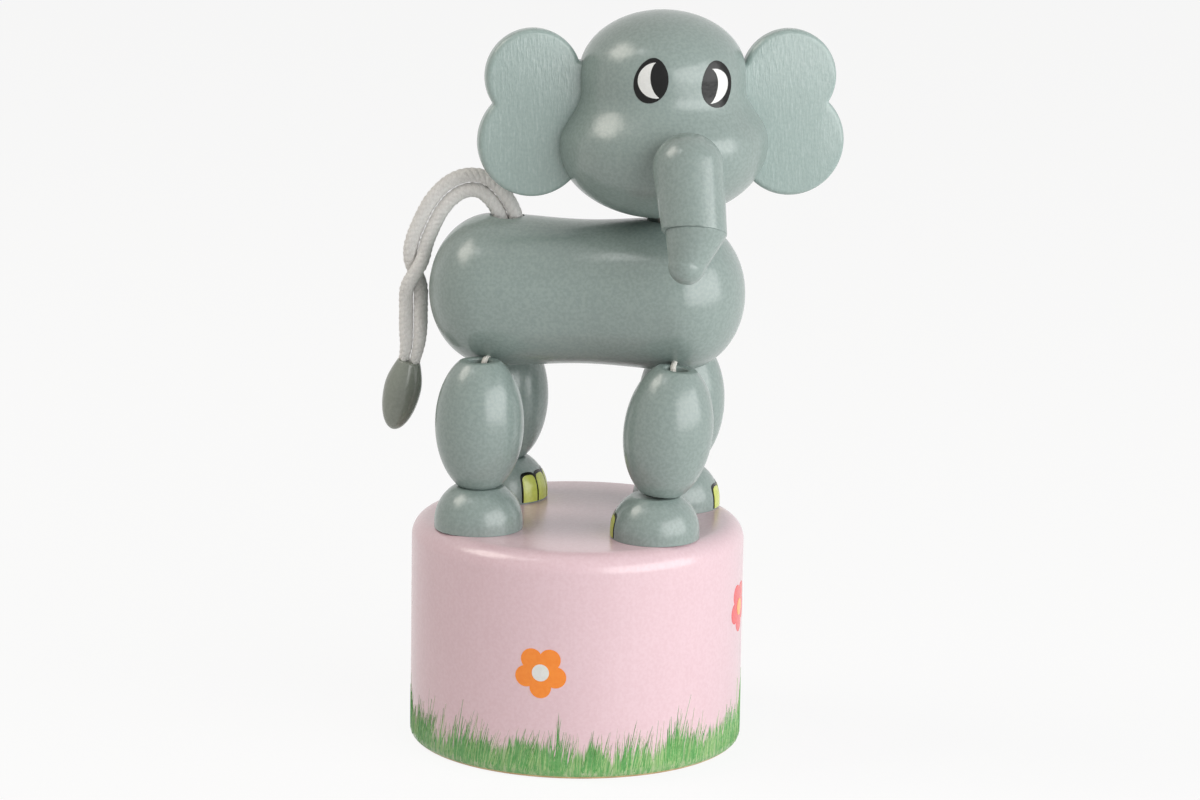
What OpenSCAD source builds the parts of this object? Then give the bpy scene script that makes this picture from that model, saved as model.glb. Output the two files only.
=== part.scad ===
// Push puppet: a jointed elephant on a round drum, in millimetres.
// The drum's bottom plane is z = 0, the puppet walks along +X and +Y is its left.
// A button under the drum slackens one string in each leg, and the legs fold.

/* [Drum] */
// Outer radius of the drum
drum_radius = 25; // [24:0.5:30]
// Height of the drum
drum_height = 34; // [32:0.5:42]
// Rounding of the drum's top edge
drum_top_round = 3; // [1:0.25:4]
// Rounding of the drum's bottom edge
drum_bottom_round = 1.2; // [0.4:0.1:2]
// Radius of the bore that the button slides in
bore_radius = 20.3; // [19.8:0.1:21.5]
// Thickness of the ceiling above the bore
ceiling_thickness = 8; // [5:0.5:9]

/* [Button and spring] */
// Gap all round between the button and the bore
button_clearance = 0.5; // [0.3:0.05:0.7]
// Thickness of the button
button_thickness = 6; // [5:0.25:7]
// Height of the button's underside above the table
button_recess = 5.5; // [4.5:0.25:7]
// Chamfer round the button's lower edge
button_chamfer = 0.8; // [0.2:0.1:1.2]
// Height of the boss that centres the spring
boss_height = 1.5; // [0.5:0.25:2.5]
// Thickness of the spring's wire
spring_wire = 1.2; // [0.8:0.1:1.4]
// Radius from the spring's axis to the middle of its wire
spring_radius = 10; // [8:0.5:12]
// Number of turns in the spring
spring_turns = 4.5; // [3:0.5:5]

/* [Feet] */
// Distance of the feet ahead of and behind the drum's centre
foot_reach = 13.3; // [12.8:0.1:13.6]
// Distance of the feet to either side of the drum's centre
foot_side = 10.3; // [9.9:0.1:10.6]
// Radius of a foot
foot_radius = 6.6; // [6:0.1:7]
// Height of a foot
foot_height = 6.3; // [5.5:0.1:7]
// Height of the straight rim at the bottom of a foot
foot_rim = 1; // [0.5:0.1:1.5]
// Radius of the flat seat on top of a foot
seat_radius = 3.6; // [3.6:0.1:4]

/* [Legs] */
// Radius of a leg at its middle
leg_radius = 6.6; // [6:0.1:6.9]
// Height of a leg
leg_height = 19; // [17:0.25:22]
// Radius of the flats at the ends of a leg
leg_flat = 3; // [2.7:0.1:3]
// Radius of the bore along a leg
leg_bore = 1.75; // [1.6:0.05:2]
// Forward lean of the front right leg in degrees
front_right_lean = 6.5; // [0:0.5:7]
// Forward lean of the front left leg in degrees
front_left_lean = 3; // [0:0.5:7]
// How far the front right leg has slid forward on its foot
front_right_slip = 0.6; // [0:0.1:0.6]

/* [Strings] */
// Radius of a leg string
string_radius = 0.6; // [0.4:0.05:0.7]
// Radius of the knot under the button
knot_radius = 1.4; // [1.3:0.05:1.6]
// Radius of the string holes in the drum and the feet
string_hole = 1.3; // [1.2:0.05:1.6]
// Radius of the string bores in the torso
hip_bore = 1.1; // [0.9:0.05:1.3]
// Radius of the neck string
neck_string_radius = 0.8; // [0.5:0.05:0.9]

/* [Torso] */
// Length of the torso
torso_length = 47.4; // [45:0.2:50]
// Radius of the torso at its two bulges
torso_radius = 11.4; // [11:0.1:12]
// Radius of the torso at its waist
torso_waist = 10.75; // [10:0.05:10.9]
// Distance of each bulge from the middle of the torso
torso_bulge = 14.2; // [13.4:0.2:15]
// How far the torso lies ahead of the drum's centre
torso_shift = 0.8; // [0:0.1:1.2]
// Nose-up pitch of the torso in degrees
torso_pitch = 1.2; // [0:0.1:2]
// Radius of the neck and tail holes
socket_radius = 2.4; // [2.35:0.05:2.6]
// Depth of the neck and tail holes
socket_depth = 9.5; // [9.2:0.1:10]

/* [Head] */
// Distance of the neck ahead of the drum's centre
neck_reach = 12.3; // [11.5:0.1:13]
// Direction of the face in degrees, from straight ahead towards the left
face_turn = -70; // [-75:1:75]
// Radius of the cheeks
cheek_radius = 15.55; // [14.8:0.05:16]
// Height of the cheeks above the chin
cheek_height = 11; // [10:0.25:12]
// Radius of the brow
brow_radius = 12.3; // [11.5:0.1:13]
// Height of the brow above the chin
brow_height = 21.5; // [20:0.25:23]
// Height of the dome above the brow
dome_height = 9.2; // [8:0.2:11]

/* [Ears] */
// Thickness of an ear
ear_thickness = 2.9; // [2:0.1:4]
// How far the middle of an ear lies behind the neck
ear_setback = 1; // [0:0.1:2]
// Radius of the upper lobe
upper_lobe_radius = 7.1; // [6.6:0.1:7.6]
// Distance of the upper lobe's centre from the neck
upper_lobe_out = 19.2; // [18.2:0.1:19.6]
// Height of the upper lobe's centre above the chin
upper_lobe_rise = 20.8; // [20:0.1:21.6]
// Radius of the lower lobe
lower_lobe_radius = 8.1; // [7.6:0.1:8.4]
// Distance of the lower lobe's centre from the neck
lower_lobe_out = 19.4; // [18.6:0.1:19.8]
// Height of the lower lobe's centre above the chin
lower_lobe_rise = 11.2; // [10.6:0.1:11.8]
// How much higher the right ear sits and how much lower the left one
ear_skew = 0.6; // [0:0.1:1]

/* [Trunk] */
// Radius of the trunk's domed top
trunk_radius = 5.15; // [4.6:0.05:5.6]
// Radius of the upper piece at the mitred joint
trunk_joint_radius = 4.65; // [4.5:0.05:4.9]
// Distance of the dome's centre from the neck
trunk_reach = 18.8; // [18:0.1:19.4]
// Height of the dome's centre above the chin
trunk_rise = 10.2; // [9.4:0.1:11]
// Forward lean of the upper piece in degrees
trunk_lean = 27; // [15:1:35]
// Length from the dome's centre to the joint
trunk_length = 9.7; // [8.5:0.1:11]
// Bend of the tip at the joint in degrees
trunk_bend = 20; // [5:1:30]
// Turn of the bend about the trunk's axis in degrees
trunk_roll = 55; // [0:5:90]
// Radius of the tip at the joint
tip_radius = 4.4; // [4.1:0.05:4.6]
// Length of the tip below the joint
tip_length = 7.6; // [6.5:0.1:9]
// Radius of the tip's rounded end
tip_end_radius = 2.7; // [2:0.1:3]
// Radius of the dowel between head and trunk
dowel_radius = 1.5; // [1:0.1:2]

/* [Tail] */
// Radius of one strand of the tail
strand_radius = 1.05; // [0.8:0.05:1.1]
// Length of the bead on the tail
bead_length = 10.8; // [9:0.2:12]
// Largest radius of the bead
bead_radius = 2.8; // [2.4:0.1:3]
// Radius of the flat on top of the bead
bead_top = 1.75; // [1.7:0.05:2]
// Backward lean of the bead in degrees
bead_lean = 13; // [5:1:20]

/* [Hidden] */
$fn = 64;

// Steps in the turned outlines
edge_steps = 6;
barrel_steps = 16;
curve_steps = 10;
cord_facets = 16;

// Clearances: touching faces, driven pegs, let-in faces and loose gaps
touch_gap = 0.02;
peg_fit = 0.03;
seat_fit = 0.05;
string_fit = 0.3;
knot_fit = 0.5;
head_gap = 0.25;
hip_gap = 0.1;
spring_fit = 0.4;
// Length by which a cutting tool passes beyond the face it cuts
over = 1;

bore_top = drum_height - ceiling_thickness;
button_radius = bore_radius - button_clearance;
button_top = button_recess + button_thickness;
boss_radius = spring_radius - spring_wire / 2 - spring_fit;
button_string_hole = string_radius + string_fit;
knot_pocket_radius = knot_radius + knot_fit;
knot_pocket_depth = 2 * knot_radius + touch_gap;
knot_drop = sqrt(pow(knot_radius, 2) - pow(button_string_hole, 2)) + touch_gap;
knot_z = button_recess + knot_pocket_depth - knot_drop;

seat_z = drum_height + foot_height;
foot_fall = foot_radius - seat_radius;
foot_rise = foot_height - foot_rim;
foot_arc = (pow(foot_fall, 2) + pow(foot_rise, 2)) / (2 * foot_fall);
foot_arc_end = asin(foot_rise / foot_arc);
leg_half_axis = leg_height / 2 / sqrt(1 - pow(leg_flat / leg_radius, 2));
leg_top_z = seat_z + leg_height;

torso_end = torso_length / 2 - torso_bulge;
rim_side = foot_side - leg_flat;
rim_rise = sqrt(pow(torso_radius, 2) - pow(rim_side, 2));
torso_z = leg_top_z + rim_rise + foot_reach * sin(torso_pitch) + hip_gap;
neck_x = neck_reach - torso_shift;
chin_z = torso_r(neck_x) + head_gap;
tail_x = -12;
tail_lean = 23;
tail_root = to_world([tail_x, 0, torso_r(tail_x)]);
hip_angle = 47;
rear_hip_x = -13.8;
front_hip_x = 14.2;

// Depths in the neck and tail holes of the peg and of the string ends
peg_top_depth = 4.5;
peg_length = 3;
string_end_depth = 8.4;
string_end_side = 0.9;
// Sideways shift of a string at the top of its leg and swelling at its bends
string_shift = 0.75;
string_swell = 1.06;

neck_bore = 2 * neck_string_radius;
neck_bore_depth = 14;
neck_string_top = 9;
head_peg_length = 4;
ear_root = 10;
ear_shoulder = 14;
tongue_low = 8;
tongue_high = 23;
dowel_inner = 7.5;
dowel_outer = 18.5;

// Middle line of the tail behind and above its hole, as pairs along X and Z
tail_route = [
    [1.7, -4], [0.8, -1.9], [-0.2, 0.6], [-1.3, 2.4], [-3, 4], [-4.8, 4.6], [-6.8, 4.3], [-8.8, 3.1],
    [-10.7, 0.9], [-12.2, -2], [-13.3, -4.9], [-13.8, -7.9], [-14, -10.6], [-14.1, -13.4],
    [-14.1, -17], [-14.2, -20.4], [-14.7, -23.1]
];
tail_last = len(tail_route) - 1;
tail_steps = 3;
tail_sides = 8;
twist_start = 10;
twist_end = 13.4;
strand_gap = 0.14;
strand_taper_start = 14;
strand_end_scale = 0.75;
// Share of the bead's length above its widest place
belly_share = 0.4;

spring_sides = 6;
spring_rings = 12;
spring_low = button_top + spring_wire / 2 + touch_gap;
spring_high = bore_top - spring_wire / 2 - touch_gap;

wood_grey = [0.57, 0.63, 0.61];
ear_grey = [0.63, 0.71, 0.70];
drum_pink = [0.87, 0.73, 0.76];
bare_wood = [0.80, 0.64, 0.43];
cord_white = [0.88, 0.86, 0.83];
bead_grey = [0.40, 0.43, 0.41];
steel = [0.70, 0.71, 0.72];

// Points on an arc
function arc(centre, radius, from, to, steps) = [
    for (i = [0 : steps])
        let (a = from + (to - from) * i / steps)
        centre + radius * [cos(a), sin(a)]
];

// Radius of a leg at a height above its lower flat
function leg_r(z) = leg_radius * sqrt(1 - pow((z - leg_height / 2) / leg_half_axis, 2));

// Radius of the torso at a distance from its middle, between the bulges
function torso_r(x) = torso_waist + (torso_radius - torso_waist) * (1 - cos(180 * x / torso_bulge)) / 2;

// From the torso's own axes to the puppet's
function to_world(v) = [
    torso_shift + v.x * cos(torso_pitch) - v.z * sin(torso_pitch),
    v.y,
    torso_z + v.x * sin(torso_pitch) + v.z * cos(torso_pitch)
];

// Place in the tail hole at a depth below its mouth
function tail_socket(depth, side) = tail_root + [depth * sin(tail_lean), side, -depth * cos(tail_lean)];

// Place in the neck hole at a depth below its mouth
function neck_socket(depth, side) = to_world([neck_x, side, torso_r(neck_x) - depth]);

// Mouth of a string bore in the torso's flank, or a place in line above it
function hip_mouth(x, side, depth) = to_world([
    x,
    side * (torso_r(x) - depth) * sin(hip_angle),
    -(torso_r(x) - depth) * cos(hip_angle)
]);

// Lower end of a leg's axis, and a place on that axis
function leg_foot(x, slip, lean) = [
    x + slip + leg_flat - leg_flat * cos(lean),
    seat_z + leg_flat * sin(lean)
];
function leg_axis(x, slip, lean, height) =
    leg_foot(x, slip, lean) + height * [sin(lean), cos(lean)];

// Bends of one leg string from its knot to its end in the torso
function string_route(x, side, slip, lean, hip_x, finish) =
    let (middle = leg_axis(x, slip, lean, leg_height / 2))
    let (top = leg_axis(x, slip, lean, leg_height))
    [
        [x, side * foot_side, knot_z],
        [x, side * foot_side, drum_height],
        [middle.x, side * foot_side, middle.y],
        [top.x, side * (foot_side - string_shift), top.y],
        hip_mouth(hip_x, side, 0),
        finish
    ];
front_right_route = string_route(
    foot_reach, -1, front_right_slip, front_right_lean, front_hip_x,
    neck_socket(string_end_depth, -string_end_side)
);
front_left_route = string_route(
    foot_reach, 1, 0, front_left_lean, front_hip_x,
    neck_socket(string_end_depth, string_end_side)
);
rear_right_route = string_route(
    -foot_reach, -1, 0, 0, rear_hip_x,
    tail_socket(string_end_depth, -string_end_side)
);
rear_left_route = string_route(
    -foot_reach, 1, 0, 0, rear_hip_x,
    tail_socket(string_end_depth, string_end_side)
);

// Smooth curve through the tail's points
function tail_point(i) = tail_route[max(0, min(tail_last, i))];
function tail_at(s) =
    let (i = min(floor(s), tail_last - 1))
    let (t = s - i)
    let (a = tail_point(i - 1))
    let (b = tail_point(i))
    let (c = tail_point(i + 1))
    let (d = tail_point(i + 2))
    (2 * b + t * (c - a) + t * t * (2 * a - 5 * b + 4 * c - d) + t * t * t * (3 * b - a - 3 * c + d)) / 2;

// Direction of the tail, which ends along the bead
function tail_heading(s) =
    let (step = 1 / tail_steps)
    let (v = tail_at(min(tail_last, s + step)) - tail_at(max(0, s - step)))
    s >= tail_last ? [-sin(bead_lean), -cos(bead_lean)] : v / norm(v);

// Share from 0 to 1 with soft ends
function soft(x) =
    let (t = max(0, min(1, x)))
    t * t * (3 - 2 * t);

// One ring of a tube round a point
function ring(centre, u, v, radius, sides) = [
    for (j = [0 : sides - 1])
        let (a = 360 * j / sides)
        centre + radius * (cos(a) * u + sin(a) * v)
];

// Rings of one tail strand, on one side of the middle line or the other
function strand_rings(side) = [
    for (i = [0 : tail_last * tail_steps])
        let (s = i / tail_steps)
        let (p = tail_at(s))
        let (h = tail_heading(s))
        let (u = [h.y, 0, -h.x])
        let (v = [0, 1, 0])
        let (turn = 180 * soft((s - twist_start) / (twist_end - twist_start)))
        let (share = soft((s - strand_taper_start) / (tail_last - strand_taper_start)))
        let (shrink = 1 - (1 - strand_end_scale) * share)
        let (out = side * shrink * (strand_radius + strand_gap / 2))
        ring(
            tail_root + [p.x, 0, p.y] + out * (cos(turn) * u + sin(turn) * v),
            u, v, shrink * strand_radius, tail_sides
        )
];

// Middle line and rings of the spring
spring_count = spring_turns * spring_rings;
spring_line = [
    for (i = [0 : spring_count])
        let (a = 360 * i / spring_rings)
        [spring_radius * cos(a), spring_radius * sin(a),
            spring_low + (spring_high - spring_low) * i / spring_count]
];
spring_slope = atan((spring_high - spring_low) / (2 * PI * spring_radius * spring_turns));
spring_tube = [
    for (i = [0 : spring_count])
        let (a = 360 * i / spring_rings)
        let (u = [cos(a), sin(a), 0])
        let (h = [-sin(a) * cos(spring_slope), cos(a) * cos(spring_slope), sin(spring_slope)])
        ring(spring_line[i], u, cross(h, u), spring_wire / 2, spring_sides)
];
spring_gaps = [
    for (i = [0 : spring_count])
        for (j = [i + spring_rings / 2 : spring_count])
            norm(spring_line[i] - spring_line[j]) - spring_wire
];
echo("Least gap between the spring's curls", min(spring_gaps));

// Closed tube through a list of rings
module tube(rings) {
    sides = len(rings[0]);
    last = len(rings) - 1;
    points = [for (r = rings) for (p = r) p];
    walls = [
        for (i = [0 : last - 1])
            for (j = [0 : sides - 1])
                let (k = (j + 1) % sides)
                [i * sides + j, (i + 1) * sides + j, (i + 1) * sides + k, i * sides + k]
    ];
    first_cap = [for (j = [0 : sides - 1]) j];
    last_cap = [for (j = [sides - 1 : -1 : 0]) last * sides + j];
    polyhedron(points, concat(walls, [first_cap, last_cap]));
}

// Straight rod between two points
module rod(from, to, radius) {
    v = to - from;
    translate(from)
        rotate([0, acos(v.z / norm(v)), atan2(v.y, v.x)])
        cylinder(h = norm(v), r = radius, $fn = cord_facets);
}

// Children at the torso's middle, along its axes
module on_torso() {
    translate([torso_shift, 0, torso_z])
        rotate([0, -torso_pitch, 0])
        children();
}

// Children at the chin, with the face along +X
module on_head() {
    on_torso()
        translate([neck_x, 0, chin_z])
        rotate([0, 0, face_turn])
        children();
}

// Children at the centre of the trunk's dome, with the trunk along -Z
module on_trunk() {
    on_head()
        translate([trunk_reach, 0, trunk_rise])
        rotate([0, -trunk_lean, 0])
        rotate([0, 0, trunk_roll])
        children();
}

// Children at the mouth of the tail hole, along the hole
module on_tail_socket() {
    translate(tail_root)
        rotate([0, -tail_lean, 0])
        children();
}

module base_drum() {
    low_centre = [drum_radius - drum_bottom_round, drum_bottom_round];
    high_centre = [drum_radius - drum_top_round, drum_height - drum_top_round];
    low = arc(low_centre, drum_bottom_round, -90, 0, edge_steps);
    high = arc(high_centre, drum_top_round, 0, 90, edge_steps);
    inner = [[0, drum_height], [0, bore_top], [bore_radius, bore_top], [bore_radius, 0]];
    color(drum_pink)
        difference() {
            rotate_extrude()
                polygon(concat(low, high, inner));
            for (x = [-foot_reach, foot_reach])
                for (y = [-foot_side, foot_side])
                    translate([x, y, bore_top - over])
                        cylinder(h = ceiling_thickness + 2 * over, r = string_hole);
        }
}

module push_button() {
    color(bare_wood)
        difference() {
            translate([0, 0, button_recess])
                rotate_extrude()
                polygon([
                    [0, 0], [button_radius - button_chamfer, 0], [button_radius, button_chamfer],
                    [button_radius, button_thickness], [boss_radius, button_thickness],
                    [boss_radius, button_thickness + boss_height], [0, button_thickness + boss_height]
                ]);
            for (x = [-foot_reach, foot_reach])
                for (y = [-foot_side, foot_side])
                    translate([x, y, button_recess - over]) {
                        cylinder(h = button_thickness + 2 * over, r = button_string_hole);
                        cylinder(h = knot_pocket_depth + over, r = knot_pocket_radius);
                    }
        }
}

module return_spring() {
    color(steel)
        tube(spring_tube);
}

module foot(x, y) {
    crown = arc([foot_radius - foot_arc, foot_rim], foot_arc, 0, foot_arc_end, curve_steps);
    color(wood_grey)
        translate([x, y, drum_height])
        rotate_extrude()
        polygon(concat(
            [[string_hole, 0], [foot_radius, 0]], crown, [[string_hole, foot_height]]
        ));
}

module leg(x, y, slip, lean) {
    flank = [
        for (i = [0 : barrel_steps])
            let (z = leg_height * i / barrel_steps)
            [leg_r(z), z]
    ];
    color(wood_grey)
        translate([x + slip + leg_flat, y, seat_z])
        rotate([0, lean, 0])
        translate([-leg_flat, 0, 0])
        rotate_extrude()
        polygon(concat([[leg_bore, 0]], flank, [[leg_bore, leg_height]]));
}

module leg_front_left() {
    leg(foot_reach, foot_side, 0, front_left_lean);
}

module leg_front_right() {
    leg(foot_reach, -foot_side, front_right_slip, front_right_lean);
}

module leg_string(route) {
    last = len(route) - 1;
    color(cord_white)
        union() {
            translate(route[0])
                sphere(r = knot_radius, $fn = cord_facets);
            for (i = [0 : last - 1])
                rod(route[i], route[i + 1], string_radius);
            for (i = [1 : last - 1])
                translate(route[i])
                    sphere(r = string_radius * string_swell, $fn = cord_facets);
        }
}

module torso() {
    rear = [
        for (a = [90 : -90 / curve_steps : 0])
            [torso_radius * cos(a), -torso_bulge - torso_end * sin(a)]
    ];
    flank = [
        for (i = [1 : 2 * curve_steps - 1])
            let (x = torso_bulge * (i / curve_steps - 1))
            [torso_r(x), x]
    ];
    front = [
        for (a = [0 : 90 / curve_steps : 90])
            [torso_radius * cos(a), torso_bulge + torso_end * sin(a)]
    ];
    color(wood_grey)
        difference() {
            on_torso()
                rotate([0, 90, 0])
                rotate_extrude()
                polygon(concat(rear, flank, front));
            on_torso()
                translate([neck_x, 0, torso_r(neck_x) - socket_depth])
                cylinder(h = socket_depth + over, r = socket_radius);
            on_tail_socket()
                translate([0, 0, -socket_depth])
                cylinder(h = socket_depth + 2 * over, r = socket_radius);
            for (side = [-1, 1]) {
                rod(
                    hip_mouth(front_hip_x, side, -over),
                    neck_socket(string_end_depth, side * string_end_side), hip_bore
                );
                rod(
                    hip_mouth(rear_hip_x, side, -over),
                    tail_socket(string_end_depth, side * string_end_side), hip_bore
                );
            }
        }
}

module front_string_peg() {
    color(bare_wood)
        on_torso()
        translate([neck_x, 0, torso_r(neck_x) - peg_top_depth - peg_length])
        cylinder(h = peg_length, r = socket_radius - peg_fit);
}

module rear_string_peg() {
    color(bare_wood)
        on_tail_socket()
        translate([0, 0, -peg_top_depth - peg_length])
        cylinder(h = peg_length, r = socket_radius - peg_fit);
}

module neck_string() {
    low = torso_r(neck_x) - peg_top_depth + touch_gap;
    high = chin_z + neck_string_top - touch_gap;
    color(cord_white)
        on_torso()
        translate([neck_x, 0, low])
        cylinder(h = high - low, r = neck_string_radius, $fn = cord_facets);
}

module head() {
    chin = [
        for (a = [90 : -90 / curve_steps : 0])
            [cheek_radius * cos(a), cheek_height * (1 - sin(a))]
    ];
    temple = [
        for (i = [1 : curve_steps - 1])
            let (t = i / curve_steps)
            [brow_radius + (cheek_radius - brow_radius) * (1 + cos(180 * t)) / 2,
                cheek_height + (brow_height - cheek_height) * t]
    ];
    crown = [
        for (a = [0 : 90 / curve_steps : 90])
            [brow_radius * cos(a), brow_height + dome_height * sin(a)]
    ];
    color(wood_grey)
        difference() {
            on_head()
                rotate_extrude()
                polygon(concat(chin, temple, crown));
            on_head()
                translate([0, 0, -over])
                cylinder(h = neck_bore_depth + over, r = neck_bore);
            on_head()
                translate([dowel_inner - over, 0, trunk_rise])
                rotate([0, 90, 0])
                cylinder(h = trunk_reach - dowel_inner, r = dowel_radius + peg_fit);
            on_head()
                ear_plate(1, seat_fit);
            on_head()
                ear_plate(-1, seat_fit);
            on_trunk()
                trunk_form(seat_fit);
        }
}

module head_string_peg() {
    color(bare_wood)
        on_head()
        translate([0, 0, neck_string_top])
        cylinder(h = head_peg_length, r = neck_bore - peg_fit);
}

// Outline of an ear, grown all round for its slot
module ear_outline(grow) {
    translate([upper_lobe_out, upper_lobe_rise])
        circle(r = upper_lobe_radius + grow);
    translate([lower_lobe_out, lower_lobe_rise])
        circle(r = lower_lobe_radius + grow);
    translate([ear_root - grow, tongue_low - grow])
        square([ear_shoulder - ear_root + grow, tongue_high - tongue_low + 2 * grow]);
}

// Plate of the left ear for side 1 and of the right ear for side -1
module ear_plate(side, grow) {
    translate([-ear_setback - ear_thickness / 2 - grow, 0, -side * ear_skew])
        mirror([0, side < 0 ? 1 : 0, 0])
        rotate([90, 0, 90])
        linear_extrude(ear_thickness + 2 * grow)
        ear_outline(grow);
}

module ear_left() {
    color(ear_grey)
        on_head()
        ear_plate(1, 0);
}

module ear_right() {
    color(ear_grey)
        on_head()
        ear_plate(-1, 0);
}

// Domed and tapered upper trunk before its mitre is cut, grown for its seat
module trunk_form(grow) {
    dome = arc([0, 0], trunk_radius + grow, 0, 90, curve_steps);
    reach = trunk_length + tip_radius * tan(trunk_bend / 2);
    slope = (trunk_radius - trunk_joint_radius) / trunk_length;
    rotate_extrude()
        polygon(concat([[0, -reach], [trunk_radius + grow - slope * reach, -reach]], dome));
}

// Block on the far side of the mitre, or on the near side when flipped
module mitre_block(flip) {
    size = 4 * trunk_radius;
    translate([0, 0, -trunk_length])
        rotate([0, trunk_bend / 2, 0])
        translate([-size / 2, -size / 2, flip ? 0 : -size])
        cube(size);
}

module trunk_upper() {
    color(wood_grey)
        difference() {
            on_trunk()
                difference() {
                    trunk_form(0);
                    mitre_block(false);
                }
            on_head()
                translate([dowel_inner - over, 0, trunk_rise])
                rotate([0, 90, 0])
                cylinder(h = dowel_outer + 2 * over - dowel_inner, r = dowel_radius + peg_fit);
        }
}

module trunk_tip() {
    stub = tip_radius * tan(trunk_bend / 2) + over;
    slope = (tip_radius - tip_end_radius) / (tip_length - tip_end_radius);
    shoulder = [tip_radius + slope * stub, stub];
    end = arc([0, tip_end_radius - tip_length], tip_end_radius, -90, 0, edge_steps);
    color(wood_grey)
        on_trunk()
        difference() {
            translate([0, 0, -trunk_length])
                rotate([0, trunk_bend, 0])
                rotate_extrude()
                polygon(concat(end, [shoulder, [0, stub]]));
            mitre_block(true);
        }
}

module trunk_dowel() {
    color(bare_wood)
        on_head()
        translate([dowel_inner, 0, trunk_rise])
        rotate([0, 90, 0])
        cylinder(h = dowel_outer - dowel_inner, r = dowel_radius);
}

module tail_strand(side) {
    color(cord_white)
        tube(strand_rings(side));
}

module tail_bead() {
    end = tail_route[tail_last];
    belly = belly_share * bead_length;
    upper = [
        for (i = [0 : curve_steps])
            let (t = i / curve_steps)
            [bead_top + (bead_radius - bead_top) * sin(90 * t), -belly * t - touch_gap]
    ];
    lower = [
        for (a = [90 / curve_steps : 90 / curve_steps : 90])
            [bead_radius * cos(a), -belly - touch_gap - (bead_length - belly) * sin(a)]
    ];
    color(bead_grey)
        translate(tail_root + [end.x, 0, end.y])
        rotate([0, bead_lean, 0])
        rotate_extrude()
        polygon(concat([[0, -touch_gap]], upper, lower));
}

base_drum();
push_button();
return_spring();
foot(foot_reach, foot_side);  // foot_front_left
foot(foot_reach, -foot_side);  // foot_front_right
foot(-foot_reach, foot_side);  // foot_rear_left
foot(-foot_reach, -foot_side);  // foot_rear_right
leg_front_left();
leg_front_right();
leg(-foot_reach, foot_side, 0, 0);  // leg_rear_left
leg(-foot_reach, -foot_side, 0, 0);  // leg_rear_right
leg_string(front_left_route);  // string_front_left
leg_string(front_right_route);  // string_front_right
leg_string(rear_left_route);  // string_rear_left
leg_string(rear_right_route);  // string_rear_right
torso();
front_string_peg();
rear_string_peg();
neck_string();
head();
head_string_peg();
ear_left();
ear_right();
trunk_upper();
trunk_tip();
trunk_dowel();
tail_strand(-1);  // tail_strand_outer
tail_strand(1);  // tail_strand_inner
tail_bead();
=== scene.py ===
from math import copysign, cos, pi, radians, sin, sqrt, tan
import random

import bmesh
import bpy
from mathutils import Matrix, Vector


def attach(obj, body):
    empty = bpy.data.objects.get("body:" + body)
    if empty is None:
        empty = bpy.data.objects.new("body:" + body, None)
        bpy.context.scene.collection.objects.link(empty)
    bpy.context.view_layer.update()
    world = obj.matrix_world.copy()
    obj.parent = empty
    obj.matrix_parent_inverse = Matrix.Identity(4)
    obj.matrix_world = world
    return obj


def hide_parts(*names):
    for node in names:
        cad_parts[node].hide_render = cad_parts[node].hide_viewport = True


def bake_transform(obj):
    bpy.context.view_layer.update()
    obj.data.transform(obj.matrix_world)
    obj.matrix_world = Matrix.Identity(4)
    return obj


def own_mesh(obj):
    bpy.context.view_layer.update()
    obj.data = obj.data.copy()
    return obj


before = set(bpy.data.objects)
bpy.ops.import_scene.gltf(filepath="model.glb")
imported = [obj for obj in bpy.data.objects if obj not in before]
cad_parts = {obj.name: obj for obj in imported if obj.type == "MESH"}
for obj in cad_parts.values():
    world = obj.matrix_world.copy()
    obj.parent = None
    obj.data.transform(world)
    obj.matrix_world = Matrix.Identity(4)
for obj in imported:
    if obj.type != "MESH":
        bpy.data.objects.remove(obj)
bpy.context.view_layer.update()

mm = 0.001  # measures below are in millimetres
up = Vector((0, 0, 1))
atOrigin = Matrix.Identity(4)
foldAngle = 35  # sharper edges than this stay crisp


def tint(red, green, blue):  # screen colour, 0 to 255
    steps = [c / 255 for c in (red, green, blue)]
    return (*[s / 12.92 if s <= 0.04 else ((s + 0.055) / 1.055) ** 2.4 for s in steps], 1)


def shift(x, y, z):
    return Matrix.Translation((x * mm, y * mm, z * mm))


def turn(degrees, axis):
    return Matrix.Rotation(radians(degrees), 4, axis)


def towards(azimuth, elevation):  # azimuth 0 is the puppet's right side
    side, rise = radians(azimuth), radians(elevation)
    return Vector((sin(side) * cos(rise), -cos(side) * cos(rise), sin(rise)))


def carried(axes, x, y, z):  # point given in a piece's own axes
    return (axes @ (Vector((x, y, z)) * mm)) / mm


def quarter(count):  # cosines and sines over a quarter turn
    steps = [pi / 2 * i / count for i in range(count + 1)]
    return [(cos(a), sin(a)) for a in steps]


def circle(count):  # angles of a full turn
    return [2 * pi * i / count for i in range(count)]


def smooth(x):
    t = max(0, min(1, x))
    return t * t * (3 - 2 * t)


def addObject(name, data, place):
    thing = bpy.data.objects.new(name, data)
    bpy.context.collection.objects.link(thing)
    thing.matrix_world = place
    return thing


# Camera at the photograph's angle
cameraView = {"azimuth": 9.5, "elevation": 12.1, "roll": 0.93, "distance": 700, "lens": 140.3,
              "aim": (0, 0, 55), "right": 3.02, "down": 3.08}


def makeCamera(look):
    back = towards(look["azimuth"], look["elevation"])
    side = radians(look["azimuth"])
    across = Vector((cos(side), sin(side), 0))
    place = Vector(look["aim"]) + look["distance"] * back
    target = Vector(look["aim"]) + look["right"] * across - look["down"] * back.cross(across)
    back = (place - target).normalized()
    across = up.cross(back).normalized()
    over = back.cross(across)
    c, s = cos(radians(look["roll"])), sin(radians(look["roll"]))
    axes = Matrix((c * across + s * over, c * over - s * across, back)).transposed().to_4x4()
    camera = addObject("camera", bpy.data.cameras.new("camera"), Matrix.Translation(place * mm) @ axes)
    camera.data.lens, camera.data.clip_start, camera.data.clip_end = look["lens"], 0.01, 20
    bpy.context.scene.camera = camera


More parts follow.
